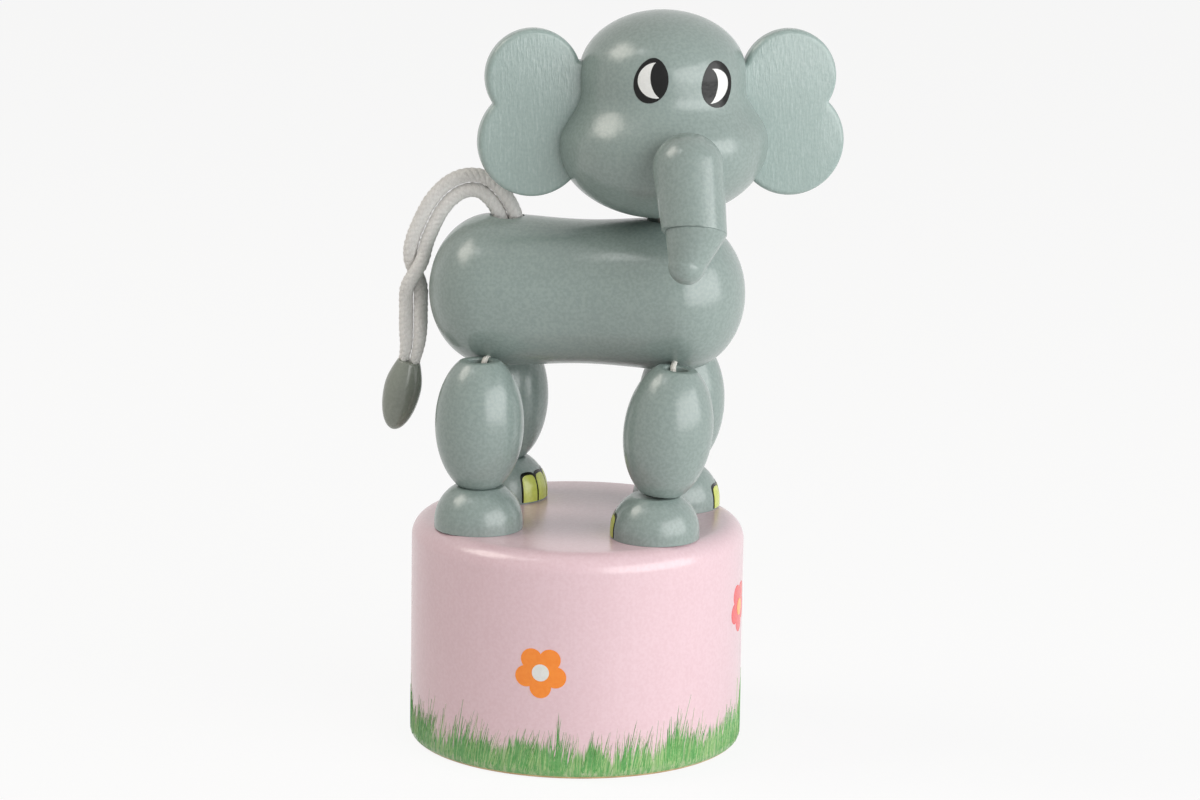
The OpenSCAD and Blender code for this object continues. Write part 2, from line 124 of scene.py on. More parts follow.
makeCamera(cameraView)
print("camera in place")


# Puppet's own axes, as in the solids
torsoShape = {"length": 47.4, "bulge": 11.4, "waist": 10.75, "bulgeAt": 14.2, "shift": 0.8,
              "height": 68.4347, "pitch": 1.2, "neckAt": 11.5, "headGap": 0.25, "faceTurn": -70,
              "tailAt": -12, "tailLean": -23, "hole": 2.4, "holeDepth": 9.5}


def torsoRadius(x):
    swell = torsoShape["bulge"] - torsoShape["waist"]
    return torsoShape["waist"] + swell * (1 - cos(pi * x / torsoShape["bulgeAt"])) / 2


torsoAxes = shift(torsoShape["shift"], 0, torsoShape["height"]) @ turn(-torsoShape["pitch"], "Y")
neckRise = torsoRadius(torsoShape["neckAt"])
neckHole = torsoAxes @ shift(torsoShape["neckAt"], 0, neckRise)
headAxes = torsoAxes @ shift(torsoShape["neckAt"], 0, neckRise + torsoShape["headGap"])
headAxes = headAxes @ turn(torsoShape["faceTurn"], "Z")
tailRoot = carried(torsoAxes, torsoShape["tailAt"], 0, torsoRadius(torsoShape["tailAt"]))
tailHole = shift(*tailRoot) @ turn(torsoShape["tailLean"], "Y")


# Building blocks for meshes
def opened(mesh):
    build = bmesh.new()
    build.from_mesh(mesh)
    return build


def putBack(build, mesh):  # with its faces turned outwards
    bmesh.ops.recalc_face_normals(build, faces=build.faces)
    build.to_mesh(mesh)
    build.free()


def addPiece(name, points, faces, place, finishes, coat=None, crease=foldAngle):
    mesh = bpy.data.meshes.new(name)
    mesh.from_pydata([Vector(p) * mm for p in points], [], faces)
    for finish in finishes:
        mesh.materials.append(finish)
    if coat:
        mesh.polygons.foreach_set("material_index", coat)
    putBack(opened(mesh), mesh)
    mesh.shade_smooth()
    mesh.set_sharp_from_angle(angle=radians(crease))
    return addObject(name, mesh, place)


def turnedPiece(name, outline, place, finishes, sides=144, loop=False, coatOf=None):
    points, rings, faces, coat = [], [], [], []
    for r, z in outline:
        count = sides if r > 1e-6 else 1
        rings.append([len(points) + j for j in range(count)])
        points += [(r * cos(a), r * sin(a), z) for a in circle(sides)[:count]]
    bands = list(zip(range(len(rings)), range(1, len(rings)))) + ([(len(rings) - 1, 0)] if loop else [])
    for low, high in bands:
        a, b = rings[low], rings[high]
        band = coatOf(outline[low], outline[high]) if coatOf else 0
        for j in range(sides):
            k = (j + 1) % sides
            face = [a[j % len(a)], a[k % len(a)], b[k % len(b)], b[j % len(b)]]
            faces.append(list(dict.fromkeys(face)))
            coat.append(band)
    return addPiece(name, points, faces, place, finishes, coat)


def bend(centre, radius, start, end, steps):  # arc in an outline, in degrees
    angles = [radians(start + (end - start) * i / steps) for i in range(steps + 1)]
    return [(centre[0] + radius * cos(a), centre[1] + radius * sin(a)) for a in angles]


def softened(outline, corners, radius, steps=5):  # rounds the named corners of an outline
    result = []
    for i, point in enumerate(outline):
        if i not in corners:
            result.append(point)
            continue
        here = Vector(point)
        before, after = Vector(outline[i - 1]) - here, Vector(outline[(i + 1) % len(outline)]) - here
        reach = min(radius, before.length / 2.2, after.length / 2.2)
        a, b = here + before.normalized() * reach, here + after.normalized() * reach
        for k in range(steps + 1):
            t = k / steps
            result.append(tuple((1 - t) ** 2 * a + 2 * t * (1 - t) * here + t * t * b))
    return result


def crossAxes(route):  # two axes across the route at each point, untwisted
    last = len(route) - 1
    headings = [(route[min(i + 1, last)] - route[max(i - 1, 0)]).normalized() for i in range(last + 1)]
    side = headings[0].orthogonal().normalized()
    pairs = []
    for heading in headings:
        side = (side - heading * side.dot(heading)).normalized()
        pairs.append((side, heading.cross(side)))
    return pairs


def closedStack(faces, start, rings, count):  # walls between rings of points, and both ends
    last = start + (rings - 1) * count
    for low in range(start, last, count):
        high = low + count
        for j in range(count):
            k = (j + 1) % count
            faces.append([low + j, low + k, high + k, high + j])
    faces += [list(range(end, end + count)) for end in (start, last)]


def tubeAlong(route, radii, sides, points, faces):  # closed tube, added to points and faces
    start = len(points)
    for middle, radius, (side, other) in zip(route, radii, crossAxes(route)):
        points += [middle + radius * (cos(a) * side + sin(a) * other) for a in circle(sides)]
    closedStack(faces, start, len(route), sides)


def tubePiece(name, route, radius, sides, finish, place=atOrigin, crease=60):
    points, faces = [], []
    tubeAlong(route, [radius] * len(route), sides, points, faces)
    return addPiece(name, points, faces, place, [finish], crease=crease)


# Thin slab of paint on a curved surface, added to points and faces
def patchOn(outline, surface, proud, points, faces, sunk=0.08, rings=6):
    middle = (sum(p[0] for p in outline) / len(outline), sum(p[1] for p in outline) / len(outline))
    count = len(outline)
    layers = []
    for lift in (proud, -sunk):
        start = len(points)
        points.append(surface(*middle, lift))
        for ring in range(1, rings + 1):
            share = ring / rings
            for corner in outline:
                points.append(surface(*[m + share * (c - m) for m, c in zip(middle, corner)], lift))
        for j in range(count):
            k = (j + 1) % count
            faces.append([start, start + 1 + j, start + 1 + k])
            for ring in range(rings - 1):
                low, high = start + 1 + ring * count, start + 1 + (ring + 1) * count
                faces.append([low + j, high + j, high + k, low + k])
        layers.append(start + 1 + (rings - 1) * count)
    for j in range(count):
        k = (j + 1) % count
        faces.append([layers[0] + j, layers[0] + k, layers[1] + k, layers[1] + j])


def patchPiece(name, outline, surface, proud, rings, finish, place=atOrigin):
    points, faces = [], []
    patchOn(outline, surface, proud, points, faces, rings=rings)
    return addPiece(name, points, faces, place, [finish])


def plant(piece):  # keeps its axes for the finish, then applies its place
    own = piece.data.attributes.new("woodPlace", "FLOAT_VECTOR", "POINT")
    own.data.foreach_set("vector", [c for v in piece.data.vertices for c in v.co])
    piece.data.transform(piece.matrix_world)
    piece.matrix_world = atOrigin


def settle(piece, body, slotName, *nodes):
    plant(piece)
    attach(piece, body)
    if nodes:
        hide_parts(*nodes)
    return piece


def bridge(piece, bodies, start, end, slotName, node):  # baked where it stands, on no body, and the node it stands for is hidden
    plant(piece)
    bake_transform(piece)
    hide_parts(node)


# Building blocks for finishes
def emptyTree(owner):  # nodes of a finish or of the surroundings
    owner.use_nodes = True
    owner.node_tree.nodes.clear()
    return owner.node_tree


def feed(tree, node, values):  # each socket gets a link or a fixed value
    for name, value in values.items():
        if isinstance(value, bpy.types.NodeSocket):
            tree.links.new(value, node.inputs[name])
        else:
            node.inputs[name].default_value = value


def addNode(tree, kind, values=None):
    node = tree.nodes.new("ShaderNode" + kind)
    feed(tree, node, values or {})
    return node


def startFinish(name, onSolid=False):  # solids have no axes of their own stored
    finish = bpy.data.materials.new(name)
    tree = emptyTree(finish)
    skin = addNode(tree, "BsdfPrincipled")
    addNode(tree, "OutputMaterial", {0: skin.outputs[0]})
    if onSolid:
        return finish, tree, skin, addNode(tree, "TexCoord").outputs["Object"]
    own = addNode(tree, "Attribute")
    own.attribute_name = "woodPlace"
    return finish, tree, skin, own.outputs["Vector"]


# Stretch is in noise cells per metre
def stretchedNoise(tree, where, stretch, detail=4, rough=0.6, spin=(0, 0, 0)):
    turned = [radians(a) for a in spin]
    cells = addNode(tree, "Mapping", {"Vector": where, "Scale": stretch, "Rotation": turned}).outputs[0]
    spots = {"Vector": cells, "Scale": 1, "Detail": detail, "Roughness": rough}
    return addNode(tree, "TexNoise", spots).outputs["Fac"]


def spread(tree, value, low, high, newLow, newHigh):
    node = addNode(tree, "MapRange", {"Value": value, "From Min": low, "From Max": high, "To Min": newLow,
                                      "To Max": newHigh})
    node.interpolation_type = "SMOOTHSTEP"
    return node.outputs["Result"]


def sums(tree, kind, *values):
    node = addNode(tree, "Math")
    node.operation = kind
    feed(tree, node, dict(enumerate(values)))
    return node.outputs[0]


def mixed(tree, share, first, second):
    node = addNode(tree, "Mix")
    node.data_type = "RGBA"
    feed(tree, node, {0: share, 6: first, 7: second})
    return node.outputs[2]


def relief(tree, skin, heights):  # (value, depth in mm) pairs, stacked
    under = {}
    for value, depth in heights:
        node = addNode(tree, "Bump", {"Height": value, "Distance": depth * mm} | under)
        under = {"Normal": node.outputs[0]}
    feed(tree, skin, under)


paintLook = {"clouds": (110, 110, 70), "grain": (1500, 1500, 90), "peel": (1300, 1300, 1300),
             "mottle": (2100, 2100, 2100), "cloudTint": 0.12, "grainTint": 0.2, "grainDepth": 0.008,
             "peelDepth": 0.026, "gloss": (0.215, 0.265), "shine": 0.62}


def satinPaint(name, *tones, **own):  # satin paint over turned or sawn wood
    look = paintLook | own
    shade, light, worn, fleck = [tint(*tone) for tone in tones]
    finish, tree, skin, where = startFinish(name)
    clouds = stretchedNoise(tree, where, look["clouds"], 3, 0.5)
    grain = stretchedNoise(tree, where, look["grain"], 4, 0.55)
    peel = stretchedNoise(tree, where, look["peel"], 2, 0.5)
    mottle = stretchedNoise(tree, where, look["mottle"], 2, 0.5)
    colour = mixed(tree, spread(tree, mottle, 0.32, 0.68, 0, 1), shade, light)
    colour = mixed(tree, spread(tree, clouds, 0.4, 0.75, 0, look["cloudTint"]), colour, fleck)
    colour = mixed(tree, spread(tree, grain, 0.5, 0.75, 0, look["grainTint"]), colour, worn)
    gloss = spread(tree, peel, 0.3, 0.7, *look["gloss"])
    feed(tree, skin, {"Base Color": colour, "Roughness": gloss, "Specular IOR Level": look["shine"]})
    relief(tree, skin, [(grain, look["grainDepth"]), (peel, look["peelDepth"])])
    return finish, tree, skin, where, colour


def paint(name, *tones, **own):
    return satinPaint(name, *tones, **own)[0]


# Each paint's tones: shade, light, worn and fleck
greyPaint = paint("greyPaint", (136, 151, 147), (145, 160, 156), (159, 174, 170), (117, 130, 126),
                  grainTint=0.12)
earPaint = paint("earPaint", (150, 168, 164), (156, 174, 170), (174, 190, 187), (130, 146, 142),
                 grain=(2400, 2400, 600), grainTint=0.55, grainDepth=0.06)
beadPaint = paint("beadPaint", (133, 139, 129), (139, 145, 135), (152, 158, 148), (114, 120, 110))
blackPaint = paint("blackPaint", (9, 10, 9), (13, 14, 13), (24, 25, 24), (5, 5, 5),
                   gloss=(0.16, 0.24), shine=0.3)
whitePaint = paint("whitePaint", (227, 228, 226), (232, 233, 231), (218, 218, 215), (210, 210, 207))
nailPaint = paint("nailPaint", (198, 208, 96), (208, 217, 108), (178, 190, 74), (166, 176, 70))
orangePaint = paint("orangePaint", (250, 138, 30), (253, 145, 38), (243, 127, 24), (236, 120, 22))
redPaint = paint("redPaint", (232, 84, 88), (238, 94, 95), (222, 70, 74), (214, 66, 70))
yolkPaint = paint("yolkPaint", (246, 170, 84), (250, 182, 96), (240, 158, 70), (236, 150, 66))
grassDeep = paint("grassDeep", (84, 156, 78), (102, 170, 92), (124, 180, 108), (62, 128, 60), grainTint=0.5)
grassPale = paint("grassPale", (142, 184, 112), (162, 198, 132), (184, 212, 156), (104, 158, 88),
                  grainTint=0.5)

washLook = {"tufts": (210, 210, 6), "streaks": (1500, 1500, 55), "reach": 9, "low": 0.2, "spikes": 8,
            "sink": 4, "fade": (-0.3, 1.2), "pale": tint(150, 186, 124), "deep": tint(100, 160, 90)}


def drumPaint(look):  # pink paint with a thin wash of green at the bottom
    finish, tree, skin, where, pink = satinPaint(
        "pinkPaint", (227, 196, 204), (231, 202, 210), (237, 212, 219), (212, 177, 184),
        grain=(1100, 1100, 40), grainTint=0.15)
    height = addNode(tree, "SeparateXYZ", {0: where})
    tufts = stretchedNoise(tree, where, look["tufts"], 2, 0.5)
    streaks = stretchedNoise(tree, where, look["streaks"], 4, 0.7)
    reach = sums(tree, "MULTIPLY_ADD", tufts, look["reach"] * mm, look["low"] * mm)
    spikes = sums(tree, "MULTIPLY_ADD", streaks, look["spikes"] * mm, -look["sink"] * mm)
    above = sums(tree, "SUBTRACT", sums(tree, "ADD", reach, spikes), height.outputs["Z"])
    wash = spread(tree, above, look["fade"][0] * mm, look["fade"][1] * mm, 0, 1)
    thin = spread(tree, streaks, 0.3, 0.55, 0.7, 1)
    green = mixed(tree, spread(tree, streaks, 0.4, 0.62, 0, 1), look["pale"], look["deep"])
    feed(tree, skin, {"Base Color": mixed(tree, sums(tree, "MULTIPLY", wash, thin), pink, green)})
    return finish


def bareWoodFinish(name, dark, light, rings, onSolid=False):
    finish, tree, skin, where = startFinish(name, onSolid)
    years = addNode(tree, "TexWave", {"Vector": where, "Scale": rings, "Distortion": 2.5, "Detail": 3,
                                      "Detail Scale": 1.2})
    years.wave_type, years.bands_direction = "BANDS", "DIAGONAL"
    fibres = stretchedNoise(tree, where, (1900, 1900, 70), 5, 0.65)
    toolMarks = stretchedNoise(tree, where, (30, 30, 2600), 2, 0.5)
    colour = mixed(tree, spread(tree, years.outputs["Fac"], 0.15, 0.9, 0.05, 0.5), light, dark)
    colour = mixed(tree, spread(tree, fibres, 0.5, 0.72, 0, 0.35), colour, dark)
    feed(tree, skin, {"Base Color": colour, "Roughness": spread(tree, fibres, 0.3, 0.7, 0.55, 0.75)})
    relief(tree, skin, [(fibres, 0.04), (toolMarks, 0.03)])
    return finish


def cordFinish(name, dark, light, fuzz):
    finish, tree, skin, where = startFinish(name)
    hairs = stretchedNoise(tree, where, (3400, 3400, 1500), 5, 0.7, (0, 35, 20))
    soil = stretchedNoise(tree, where, (240, 240, 240), 3, 0.6)
    colour = mixed(tree, spread(tree, hairs, 0.32, 0.68, 0, 1), dark, light)
    colour = mixed(tree, spread(tree, soil, 0.45, 0.75, 0, 0.35), colour, dark)
    feed(tree, skin, {"Base Color": colour, "Roughness": spread(tree, hairs, 0.3, 0.7, 0.8, 0.95),
                      "Sheen Weight": fuzz, "Sheen Roughness": 0.6})
    relief(tree, skin, [(hairs, 0.07), (soil, 0.05)])
    return finish


def steelFinish():
    finish, tree, skin, where = startFinish("springSteel")
    drawn = stretchedNoise(tree, where, (900, 900, 2600), 4, 0.6)
    colour = mixed(tree, spread(tree, drawn, 0.35, 0.65, 0, 1), tint(168, 170, 172), tint(206, 207, 208))
    feed(tree, skin, {"Base Color": colour, "Metallic": 1,
                      "Roughness": spread(tree, drawn, 0.3, 0.7, 0.29, 0.44)})
    relief(tree, skin, [(drawn, 0.01)])
    return finish


pinkPaint = drumPaint(washLook)
woodTones = (tint(186, 148, 102), tint(218, 186, 140), 120)
bareWood = bareWoodFinish("bareWood", *woodTones)
solidWood = bareWoodFinish("solidWood", *woodTones, onSolid=True)
tailYarn = cordFinish("tailYarn", tint(222, 220, 218), tint(240, 239, 237), 0.2)
stringYarn = cordFinish("stringYarn", tint(214, 210, 202), tint(238, 235, 229), 0.1)
springSteel = steelFinish()
print("finishes made")


# Tail: two strands of twisted yarn, laid over each other once, with a bead on the end
tailShape = {"route": [(1.7, -4), (0.8, -1.9), (-0.2, 0.6), (-1.3, 2.4), (-3, 4), (-4.8, 4.6), (-6.8, 4.3),
                       (-8.8, 3.1), (-10.7, 0.9), (-12.2, -2), (-13.3, -4.9), (-13.8, -7.9), (-14, -10.6),
                       (-14.1, -13.4), (-14.1, -17), (-14.2, -20.4), (-14.7, -23.1)],
             "radius": 1.05, "apart": 0.14, "crossStart": 10, "crossEnd": 13.4, "taperStart": 14,
             "endScale": 0.75, "plies": 4, "pitch": 3.6, "plyRadius": 0.66, "plyOut": 0.41, "step": 0.125,
             "feel": 0.3, "sides": 9, "pivot": (-5, 4.6), "bends": ((1.5, -0.5), (-6, -4))}
beadShape = {"length": 10.8, "radius": 2.8, "top": 1.75, "belly": 0.4, "lean": 13, "gap": 0.02, "edge": 0.3}


def offRoot(x, z):  # point beside the tail's root
    return tailRoot + Vector((x, 0, z))


def tailAt(s):
    route = tailShape["route"]
    i = min(int(s), len(route) - 2)
    t = s - i
    a, b, c, d = [Vector(route[max(0, min(len(route) - 1, k))]) for k in (i - 1, i, i + 1, i + 2)]
    curve = 2 * b + t * (c - a) + t * t * (2 * a - 5 * b + 4 * c - d) + t ** 3 * (3 * b - a - 3 * c + d)
    return curve / 2


def strandRoute(side, look):
    last = len(look["route"]) - 1
    route, radii = [], []
    for i in range(int(last / look["step"]) + 1):
        s = i * look["step"]
        heading = (tailAt(min(last, s + look["feel"])) - tailAt(max(0, s - look["feel"]))).normalized()
        crossing = pi * smooth((s - look["crossStart"]) / (look["crossEnd"] - look["crossStart"]))
        slim = 1 - (1 - look["endScale"]) * smooth((s - look["taperStart"]) / (last - look["taperStart"]))
        out = side * slim * (look["radius"] + look["apart"] / 2)
        across = Vector((heading.y, 0, -heading.x)) * cos(crossing)
        across += Vector((0, sin(crossing), 0))
        route.append(offRoot(*tailAt(s)) + out * across)
        radii.append(slim * look["radius"])
    return route, radii


def pliedStrand(name, route, radii, look, finish):
    points, faces, lengths = [], [], [0]
    for a, b in zip(route, route[1:]):
        lengths.append(lengths[-1] + (b - a).length)
    pairs = crossAxes(route)
    for ply in range(look["plies"]):
        line = []
        for middle, radius, along, (side, other) in zip(route, radii, lengths, pairs):
            a = 2 * pi * (along / look["pitch"] + ply / look["plies"])
            line.append(middle + look["plyOut"] * radius * (cos(a) * side + sin(a) * other))
        tubeAlong(line, [look["plyRadius"] * radius for radius in radii], look["sides"], points, faces)
    return addPiece(name, points, faces, atOrigin, [finish], crease=80), lengths[-1]


beadAxes = shift(*offRoot(*tailShape["route"][-1])) @ turn(beadShape["lean"], "Y")


def makeBead(look):
    belly, gap, swell = look["belly"] * look["length"], look["gap"], look["radius"] - look["top"]
    upper = [(look["top"] + swell * s, -belly * i / 20 - gap) for i, (c, s) in enumerate(quarter(20))]
    lower = [(look["radius"] * c, -belly - gap - (look["length"] - belly) * s) for c, s in quarter(24)[1:-1]]
    outline = softened([(0, -gap)] + upper + lower + [(0, -look["length"] - gap)], [1], look["edge"])
    return turnedPiece("tailBead", outline, beadAxes, [beadPaint], sides=96)


tailBead = settle(makeBead(beadShape), "tail_end", "bead_paint", "tail_bead")
swingPivot = offRoot(*tailShape["pivot"])
tailBends = [(swingPivot + Vector((x, 0, z))) * mm for x, z in tailShape["bends"]]
for kind, side in (("Outer", -1), ("Inner", 1)):
    route, radii = strandRoute(side, tailShape)
    strand, length = pliedStrand("tailStrand" + kind, route, radii, tailShape, tailYarn)
    bridge(strand, ("torso", "tail_end"), *tailBends, "tail_yarn", "tail_strand_" + kind.lower())
    print("tail strand", kind.lower(), "is", round(length, 1), "mm long")


# Drum: turned and bored, painted outside, with grass and flowers
drumShape = {"radius": 25, "height": 34, "topRound": 3, "bottomRound": 1.2, "bore": 20.3, "ceiling": 26,
             "bareRim": 0.5, "boreEdge": 0.4, "ceilingRing": 10, "boreRing": 13, "wallRings": range(3, 31, 2),
             "topRings": (18, 13, 7, 0)}


def drumRadius(z):
    low = drumShape["bottomRound"]
    if z >= low:
        return drumShape["radius"]
    return drumShape["radius"] - low + sqrt(max(0, low * low - (low - z) ** 2))


def makeDrum(look):
    radius, bore, ceiling = look["radius"], look["bore"], look["ceiling"]
    low, high = look["bottomRound"], look["topRound"]
    inside = [(0, ceiling), (look["ceilingRing"], ceiling), (bore, ceiling)]
    inside += [(bore, look["boreRing"]), (bore, 0)]
    foot = bend((radius - low, low), low, -90, 0, 14)
    wall = [(radius, z) for z in look["wallRings"]]
    shoulder = bend((radius - high, look["height"] - high), high, 0, 90, 20)
    top = [(r, look["height"]) for r in look["topRings"]]
    outline = softened(inside + foot + wall + shoulder + top, [len(inside) - 1], look["boreEdge"])

    def coatOf(a, b):  # bare wood inside and on the bottom rim
        bored = max(a[0], b[0]) <= bore + 0.01 and a[1] <= ceiling
        return 1 if bored or (a[1] + b[1]) / 2 < look["bareRim"] else 0

    return turnedPiece("drumBody", outline, atOrigin, [pinkPaint, bareWood], sides=256, coatOf=coatOf)


settle(makeDrum(drumShape), "base", "pink_paint", "base_drum")


def onDrum(across, z, lift):  # across is an arc length round the drum
    a = across / drumShape["radius"]
    r = drumRadius(z) + lift
    return Vector((r * cos(a), r * sin(a), z))


# Coats: name, paint, share of the strokes, share that stands in tufts, thickness
grassLook = {"strokes": 2600, "low": 0.55, "tuftApart": 5.8, "tuftHalf": 1.35, "tall": 7.6, "tips": 2.6,
             "thin": 0.16, "thick": 0.5, "fan": 0.06, "peak": 0.13, "sunk": 0.05, "least": 0.015, "seed": 8,
             "coats": [("grassDeepStrokes", grassDeep, 0.54, 0.78, 0.06),
                       ("grassPaleStrokes", grassPale, 0.46, 0.1, 0.045)]}


def grassStrokes(look):  # dark tufts over paler strokes, dry-brushed upwards
    draw = random.Random(look["seed"])
    around = 2 * pi * drumShape["radius"]
    count = int(around / look["tuftApart"])
    tufts = []
    for i in range(count):  # middle, size and lean of each
        middle = around * (i + draw.uniform(0.2, 0.8)) / count
        tufts.append((middle, draw.uniform(0.75, 1.1), draw.uniform(0.05, 0.28)))
    for name, finish, share, inTufts, top in look["coats"]:
        points, faces = [], []
        for i in range(int(look["strokes"] * share)):
            middle, size, lean = tufts[draw.randrange(count)]
            clumped = draw.random() < inTufts
            aside = draw.gauss(0, look["tuftHalf"]) if clumped else draw.uniform(-1, 1) * look["tuftApart"]
            tall = look["tall"] * size * draw.uniform(0.4, 1) * (1 if clumped else 0.8)
            tall /= 1 + look["peak"] * aside * aside * clumped
            tall += look["tips"] * draw.random() ** 5
            low = look["low"] + draw.random() ** 3 * 1.5
            wide = draw.uniform(look["thin"], look["thick"]) * (1.3 if clumped else 1)
            slant = lean + look["fan"] * aside * clumped + draw.gauss(0, 0.06)
            lift = draw.uniform(look["least"], top)
            start = len(points)
            for k in range(5):  # rings of three points, narrowing to the tip
                t = k / 4
                half = wide * (1 - t ** 1.5) * (0.55 + 0.45 * min(1, t * 4)) / 2 + 0.012
                line = middle + aside + slant * tall * t ** 1.3
                ring = ((line - half, -look["sunk"]), (line, lift), (line + half, -look["sunk"]))
                points += [onDrum(across, low + tall * t, out) for across, out in ring]
            for k in range(4):
                a, b = start + 3 * k, start + 3 * k + 3
                faces += [[a, a + 1, b + 1, b], [a + 1, a + 2, b + 2, b + 1], [a + 2, a, b, b + 2]]
            faces += [[start, start + 1, start + 2], [start + 12, start + 13, start + 14]]
        settle(addPiece(name, points, faces, atOrigin, [finish], crease=80), "base", "pink_paint")


grassStrokes(grassLook)

# Flowers: name, angle round the drum, height, petals, heart
flowerLook = {"petalOut": 2.33, "petal": 1.62, "centre": 1.28, "centreDrop": 0.1, "proud": 0.035,
              "flowers": [("flowerOrangeFront", -92.4, 16.3, orangePaint, whitePaint),
                          ("flowerRedRight", -4, 21.9, redPaint, yolkPaint),
                          ("flowerOrangeBack", 84, 15.6, orangePaint, whitePaint),
                          ("flowerRedLeft", 168, 20.8, redPaint, yolkPaint)]}


def flowerOutline(look, count=140):  # edge of five round petals seen from the middle
    edge = []
    for a in circle(count):
        far = 0
        for petal in range(5):
            away = a - radians(-90 + 72 * petal)
            inside = look["petal"] ** 2 - (look["petalOut"] * sin(away)) ** 2
            if inside > 0 and cos(away) > 0:
                far = max(far, look["petalOut"] * cos(away) + sqrt(inside))
        edge.append((far * cos(a), far * sin(a)))
    return edge


def makeFlower(look, name, angle, z, petals, heart):
    def spot(a, b, lift):
        return onDrum(radians(angle) * drumShape["radius"] + a, z + b, lift)

    disc = [(look["centre"] * cos(a), look["centre"] * sin(a) - look["centreDrop"]) for a in circle(48)]
    for label, outline, layer, rings, finish in (("", flowerOutline(look), 1, 6, petals),
                                                 ("Heart", disc, 2, 4, heart)):
        piece = patchPiece(name + label, outline, spot, layer * look["proud"], rings, finish)
        settle(piece, "base", "pink_paint")


for flower in flowerLook["flowers"]:
    makeFlower(flowerLook, *flower)
print("drum painted")


# Button and spring inside the drum
springShape = {"radius": 10, "wire": 0.6, "turns": 4.5, "low": 12.12, "high": 25.38, "ringsPerTurn": 40,
               "wireSides": 14, "seat": 11.5}


def makeSpring(look):
    count = int(look["turns"] * look["ringsPerTurn"])
    line = []
    for i in range(count + 1):
        a = 2 * pi * i / look["ringsPerTurn"]
        z = look["low"] + (look["high"] - look["low"]) * i / count
        line.append(Vector((look["radius"] * cos(a), look["radius"] * sin(a), z)))
    piece = tubePiece("springWire", line, look["wire"], look["wireSides"], springSteel)
    settle(piece, "base", "spring_steel", "return_spring")
    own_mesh(piece)


makeSpring(springShape)
for node in ("push_button", "front_string_peg", "rear_string_peg", "head_string_peg", "trunk_dowel"):
    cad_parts[node].data.materials.clear()
    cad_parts[node].data.materials.append(solidWood)


# Feet and legs
footShape = {"radius": 6.6, "height": 6.3, "rim": 1, "seat": 3.6, "bore": 1.3, "rings": 40, "edge": 0.3,
             "soft": (1, -2, -1)}
legShape = {"radius": 6.6, "height": 19, "flat": 3, "bore": 1.75, "seatHeight": 40.3, "rings": 64,
            "edge": 0.3, "soft": (0, 1, -2, -1)}
nailLook = {"apart": 26, "half": 1.32, "line": 0.28, "topLine": 0.42, "low": 0.2, "square": 0.65,
            "drop": 1.05, "proud": 0.05, "sunk": 0.12}
stance = {"FrontLeft": {"cad": "front_left", "x": 13.3, "y": 10.3, "slip": 0, "lean": 3, "nails": 18.5,
                        "nailTop": 3.4, "hip": 14.2, "aside": 0, "drawn": (14.36, 7.1, 64.1)},
          "FrontRight": {"cad": "front_right", "x": 13.3, "y": -10.3, "slip": 0.6, "lean": 6.5, "nails": 172,
                         "nailTop": 3.35, "hip": 14.2, "aside": -0.7, "drawn": (16.45, -7.1, 64.23)},
          "RearLeft": {"cad": "rear_left", "x": -13.3, "y": 10.3, "slip": 0, "lean": 0, "nails": -15,
                       "nailTop": 4.2, "hip": -13.8, "aside": 0, "drawn": (-14.49, 7.1, 62.29)},
          "RearRight": {"cad": "rear_right", "x": -13.3, "y": -10.3, "slip": 0, "lean": 0, "nails": 100,
                        "nailTop": 3.8, "hip": -13.8, "aside": 0.5}}


def footRadius(z):
    fall, rise = footShape["radius"] - footShape["seat"], footShape["height"] - footShape["rim"]
    curve = (fall * fall + rise * rise) / (2 * fall)
    return footShape["radius"] - curve + sqrt(curve ** 2 - max(0, z - footShape["rim"]) ** 2)


def nailOutline(half, low, high, look):
    shoulder = low + 0.5 * (high - low)
    corners = [(half, low), (half, shoulder)]
    for i in range(25):  # square shoulders, softly rounded
        c, s = cos(pi * i / 24), sin(pi * i / 24)
        corners.append((half * copysign(abs(c) ** look["square"], c),
                        high - look["drop"] * (1 - abs(s) ** look["square"])))
    corners += [(-half, shoulder), (-half, low), (-half / 2, low), (half / 2, low)]
    edge = []
    for (a, b), (nextA, nextB) in zip(corners, corners[1:] + corners[:1]):
        edge += [(a + (nextA - a) * k / 3, b + (nextB - b) * k / 3) for k in range(3)]
    return edge


def makeNails(corner, place, at, look):
    layers = (("nailLines", look["line"], look["topLine"], look["proud"], blackPaint),
              ("nails", 0, 0, 2 * look["proud"], nailPaint))
    for name, grow, rise, proud, finish in layers:
        outline = nailOutline(look["half"] + grow, look["low"], at["nailTop"] + rise, look)
        points, faces = [], []
        for step in (-1, 0, 1):
            def spot(a, z, lift):
                angle = radians(at["nails"] + step * look["apart"]) + a / footShape["radius"]
                r = footRadius(z) + lift
                return Vector((r * cos(angle), r * sin(angle), z + 0.5 * lift))
            patchOn(outline, spot, proud, points, faces, sunk=look["sunk"])
        settle(addPiece(name + corner, points, faces, place, [finish]), "foot_" + at["cad"], "grey_paint")


def legRadius(z):
    axis = legShape["height"] / 2 / sqrt(1 - (legShape["flat"] / legShape["radius"]) ** 2)
    return legShape["radius"] * sqrt(1 - ((z - legShape["height"] / 2) / axis) ** 2)


def boredPiece(name, radiusAt, place, look):  # soft lists the rounded corners of its outline
    levels = [look["height"] * i / look["rings"] for i in range(look["rings"] + 1)]
    flank = [(radiusAt(z), z) for z in levels]
    outline = [(look["bore"], 0)] + flank + [(look["bore"], look["height"])]
    outline = softened(outline, [c % len(outline) for c in look["soft"]], look["edge"])
    return turnedPiece(name, outline, place, [greyPaint], sides=112, loop=True)


